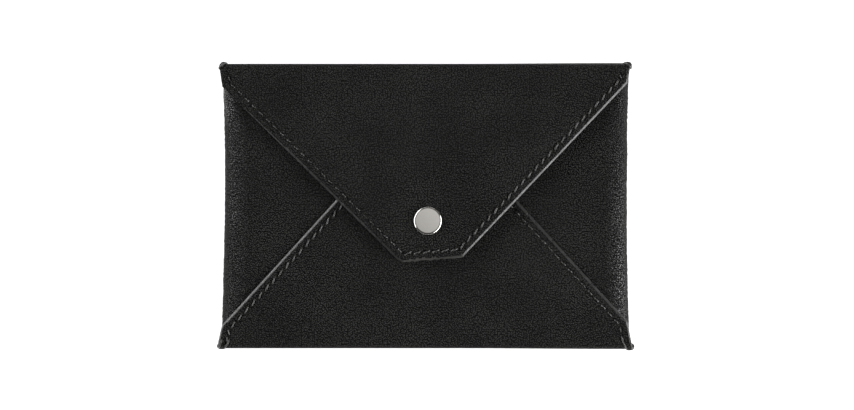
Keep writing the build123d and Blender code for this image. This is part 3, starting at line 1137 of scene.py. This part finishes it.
flap_slants = 3 * [(-stitch_slant, *whole_shares)] + 2 * [(-stitch_slight_slant, *flap_sunk_shares)]
front_slants = ((stitch_slant, *whole_shares), (stitch_slight_slant, *front_sunk_shares))
for face_name, face, outward in (("top", 0.0, 1), ("under", -leather - lining, -1)):
    name = f"flap_{face_name}_stitches"
    node = f"flap_{face_name}_thread"
    sewn_thread(name, flap_seam_runs, flap_slants, lay_flap, face, outward, node, "flap")
for side_name, runs, slant in zip(("left", "right"), front_seams, front_slants):
    top_node = f"{side_name}_seam_top_thread"
    under_node = f"{side_name}_seam_under_thread"
    sewn_thread(f"{side_name}_top_stitches", runs, [slant, slant], lay_front, 0.0, 1, top_node, "pouch")
    sewn_thread(
        f"{side_name}_under_stitches", runs[1:], [slant], lay_front, -2 * leather, -1, under_node, "pouch"
    )

# Knots of thread at the four corners: sizes, and where the end of each wall lies
strand_radius = 0.44
strand_radius_share = 0.75
strand_merge = 0.01
loop_bite = 2.2
loop_out = 0.3
top_levels = (7.5, 6.5, 5.5)
bottom_levels = (6.6, 5.6, 4.6)
over_insets = ((3.5, 1.9), (0.9, -0.1))
wall_inner = half_height - leather - lining
Corners = namedtuple("Corners", "side sign top_end bottom_end slope tuck")
both_corners = (
    Corners(side="left", sign=-1, top_end=71.6, bottom_end=72.1, slope=0.7, tuck=0.4),
    Corners(side="right", sign=1, top_end=spine_right, bottom_end=front_right_ear, slope=0.0, tuck=0.0),
)


def knot(name, strands, replaced):
    """Strands of waxed thread, each a smooth line through its points or a closed loop."""
    curve = bpy.data.curves.new(name, "CURVE")
    curve.dimensions = "3D"
    curve.bevel_depth = strand_radius * mm
    curve.bevel_resolution = 3
    curve.resolution_u = 5
    curve.use_fill_caps = True
    for points, closed in strands:
        spline = curve.splines.new("NURBS")
        spline.points.add(len(points) - 1)
        for point, (x, y, z) in zip(spline.points, points):
            point.co = (x * mm, y * mm, z * mm, 1.0)
            point.radius = 1.0 if closed else strand_radius_share
        spline.order_u = 3
        spline.use_cyclic_u = closed
        spline.use_endpoint_u = not closed
    rope = shown(name, curve)
    bpy.context.view_layer.update()
    mesh = bpy.data.meshes.new_from_object(rope.evaluated_get(bpy.context.evaluated_depsgraph_get()))
    bpy.data.objects.remove(rope)
    form = bmesh.new()
    form.from_mesh(mesh)
    bmesh.ops.remove_doubles(form, verts=form.verts[:], dist=strand_merge * mm)
    bmesh.ops.recalc_face_normals(form, faces=form.faces[:])
    return piece(name, form, [waxed], replaced)


def wall_loops(sign, end, near_y, far_y, slope, levels):
    """Turns of thread round the end of a wall, higher on its far face than on its near one;
    a slope pulls them in at the far corner."""
    bite = end - loop_bite
    out = loop_out if far_y > near_y else -loop_out
    loops = []
    for level in levels:
        points = [
            (sign * bite, near_y - out, level - 0.8),
            (sign * (end + 0.05), near_y - out, level - 0.6),
            (sign * (end + 0.42), (near_y + far_y) / 2 - slope, level - 0.2),
            (sign * (end + 0.15 - slope), far_y + out, level + 0.1),
            (sign * (end - 1.0), far_y + 1.5 * out, level),
            (sign * bite, far_y + out, level - 0.3),
        ]
        loops.append((points, True))
    return loops


def strand(sign, points):
    """An open strand, on the right or the left."""
    return [(sign * x, y, z) for x, y, z in points], False


for side_name, sign, top_end, bottom_end, slope, tuck in both_corners:
    over_corner = [
        (top_end - 2.2, half_height + 0.2, 6.2),
        (top_end - 1.8, half_height + 0.3, 8.0),
        (top_end - 1.1, half_height + 0.1, 9.05),
        (top_end - 0.1, half_height - 0.9, 9.15),
        (top_end + 0.45, half_height - 1.5, 8.4),
        (top_end + 0.45, half_height - 1.3, 7.2),
        (top_end - 0.2, half_height - 1.6, 6.2),
    ]
    top_strands = wall_loops(sign, top_end, wall_inner, half_height, slope, top_levels)
    top_knot = knot(f"top_{side_name}_knot", top_strands, [f"top_{side_name}_tack"])
    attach(top_knot, "spine")
    corner_strand = knot(f"top_{side_name}_strand", [strand(sign, over_corner)], [])
    bend_with_flap(corner_strand)
    bottom_inner = leather - half_height
    bottom_outer = tuck - half_height
    bottom_strands = wall_loops(sign, bottom_end, bottom_inner, bottom_outer, 0.0, bottom_levels)
    for start_inset, end_inset in over_insets:
        start_x = bottom_end - start_inset
        end_x = bottom_end - end_inset
        over_front = [
            (start_x - 0.1, -46.2, 7.8),
            (start_x, -46.9, 8.5),
            ((start_x + end_x) / 2, -48.5, 8.45),
            (end_x - 0.1, tuck - 49.7, 7.3),
            (end_x, tuck - 49.8, 5.6),
            (end_x - 0.2, tuck - 49.2, 4.2),
        ]
        bottom_strands.append(strand(sign, over_front))
    bottom_knot = knot(f"bottom_{side_name}_knot", bottom_strands, [f"bottom_{side_name}_tack"])
    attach(bottom_knot, "pouch")


# Snap: the cap on the flap, and nickel for the pieces inside
def snap_cap():
    """Pressed cap: a face that falls towards its edge, a narrow bevel, a round rim and a flat base."""
    form = bmesh.new()
    base = flap_half - cap_sink
    face = flap_half + cap_height
    flat = cap_radius - cap_rim
    lean = cap_bevel_slope
    shoulder = face - cap_crown - cap_bevel * sin(lean) / cos(lean)
    rim_radius = (cap_rim - cap_bevel) / (1 - sin(lean))
    profile = [(flat * share, face - cap_crown * share**3) for share in cap_face_shares]
    for number in range(cap_rim_steps + 1):
        turn = lean + (quarter - lean) * number / cap_rim_steps
        out = flat + cap_bevel + rim_radius * (sin(turn) - sin(lean))
        profile.append((out, shoulder - rim_radius * (cos(lean) - cos(turn))))
    profile += [(cap_radius, base), (cap_radius - cap_hem, base), (0.0, base)]
    points = [form.verts.new((radius, 0.0, height)) for radius, height in profile]
    for first, last in zip(points, points[1:]):
        form.edges.new((first, last))
    bmesh.ops.spin(
        form,
        geom=form.verts[:] + form.edges[:],
        cent=(0.0, 0.0, 0.0),
        axis=(0.0, 0.0, 1.0),
        angle=2 * pi,
        steps=cap_steps,
        use_merge=True,
    )
    bmesh.ops.remove_doubles(form, verts=form.verts[:], dist=cap_merge)
    bmesh.ops.recalc_face_normals(form, faces=form.faces[:])
    on_sheet = Matrix.Translation((snap_x, (snap_y - axis_y) / cos(flap_tilt), 0.0))
    tilted = Matrix.Translation((0.0, axis_y, flap_axis_z)) @ Matrix.Rotation(-flap_tilt, 4, "X")
    bmesh.ops.transform(form, matrix=Matrix.Scale(mm, 4) @ (tilted @ on_sheet), verts=form.verts[:])
    made = piece("polished_cap", form, [nickel], ["snap_cap"])
    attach(made, "flap")


snap_cap()
for node in ("snap_socket", "snap_spring", "snap_stud", "snap_post"):
    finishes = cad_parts[node].data.materials
    finishes.clear()
    finishes.append(nickel)

# Floor: pale, white to the camera and to the metal, and still taking the wallet's shadow
floor_size = 3.0
floor_drop = 0.4
floor_glow = 0.72


def floor_finish():
    """White floor whose shade is part its own light and part the studio's."""
    finish = Finish("white_floor")
    own = finish.shader.outputs[0]
    finish.set(Base_Color=(0.9, 0.9, 0.9, 1.0), Roughness=0.9, Specular_IOR_Level=0.0)
    path = finish.node("ShaderNodeLightPath", {}, {})
    seen = Number(finish, path.outputs["Is Camera Ray"]) + Number(finish, path.outputs["Is Glossy Ray"])
    seen = seen + Number(finish, path.outputs["Is Transmission Ray"])
    glow = finish.node("ShaderNodeEmission", {}, {"Color": (1.0, 1.0, 1.0, 1.0), "Strength": floor_glow})
    both = finish.node("ShaderNodeAddShader", {}, {0: glow.outputs[0], 1: own})
    finish.surface(finish.node("ShaderNodeMixShader", {}, {0: seen, 1: own, 2: both.outputs[0]}))
    return finish.material


floor_form = bmesh.new()
bmesh.ops.create_grid(floor_form, x_segments=2, y_segments=2, size=floor_size)
bmesh.ops.translate(floor_form, verts=floor_form.verts[:], vec=(0.0, 0.0, -floor_drop * mm))
floor_mesh = mesh_of("floor", floor_form)
floor_mesh.materials.append(floor_finish())
floor = shown("floor", floor_mesh)

# Studio: a soft sky, brightest overhead, two long softboxes at the sides and a strip behind
sky_lean = radians(9)
sky_stops = ((0.84, (0.06, 0.06, 0.06, 1.0)), (0.95, (0.62, 0.615, 0.6, 1.0)))


def studio_sky():
    """Even sky that is dark at the horizon and bright overhead."""
    world = bpy.data.worlds.new("studio")
    world.use_nodes = True
    sky = Nodes(world.node_tree)
    overhead = (0.0, sin(sky_lean), cos(sky_lean))
    place = sky.node("ShaderNodeTexCoord", {}, {}).outputs["Generated"]
    lean = sky.node("ShaderNodeVectorMath", {"operation": "DOT_PRODUCT"}, {0: place, 1: overhead})
    ramp = sky.node("ShaderNodeValToRGB", {"stops": sky_stops}, {0: lean.outputs["Value"]})
    sky.feed(world.node_tree.nodes["Background"].inputs[0], ramp.outputs[0])
    bpy.context.scene.world = world


def softbox(name, azimuth, elevation, distance, wide, high, watts):
    """A large soft lamp that faces the wallet."""
    lamp = bpy.data.lights.new(name, "AREA")
    lamp.shape = "RECTANGLE"
    lamp.size = wide
    lamp.size_y = high
    lamp.energy = watts
    placed = shown(name, lamp)
    turn = radians(azimuth)
    rise = radians(elevation)
    away = Vector((cos(turn) * cos(rise), sin(turn) * cos(rise), sin(rise)))
    placed.location = away * distance
    placed.rotation_mode = "QUATERNION"
    placed.rotation_quaternion = away.to_track_quat("Z", "Y")


studio_sky()
softbox("left_softbox", azimuth=163.0, elevation=25.0, distance=0.8, wide=1.34, high=0.3, watts=8.0)
softbox("right_softbox", azimuth=-17.0, elevation=25.0, distance=0.8, wide=1.34, high=0.3, watts=10.0)
softbox("back_strip", azimuth=95.0, elevation=7.0, distance=1.0, wide=1.2, high=0.12, watts=0.5)

# Camera: straight above, from far off, framed as the photograph is
view_width = 298.0
camera_x = 0.32
camera_y = 0.36
camera_distance = 3000.0
camera_data = bpy.data.cameras.new("camera")
camera_data.sensor_width = 36.0
camera_data.lens = camera_data.sensor_width * camera_distance / view_width
camera_data.clip_end = 10.0
camera = shown("camera", camera_data)
camera.location = (camera_x * mm, camera_y * mm, camera_distance * mm)
bpy.context.scene.camera = camera
bpy.context.scene.view_settings.view_transform = "Standard"
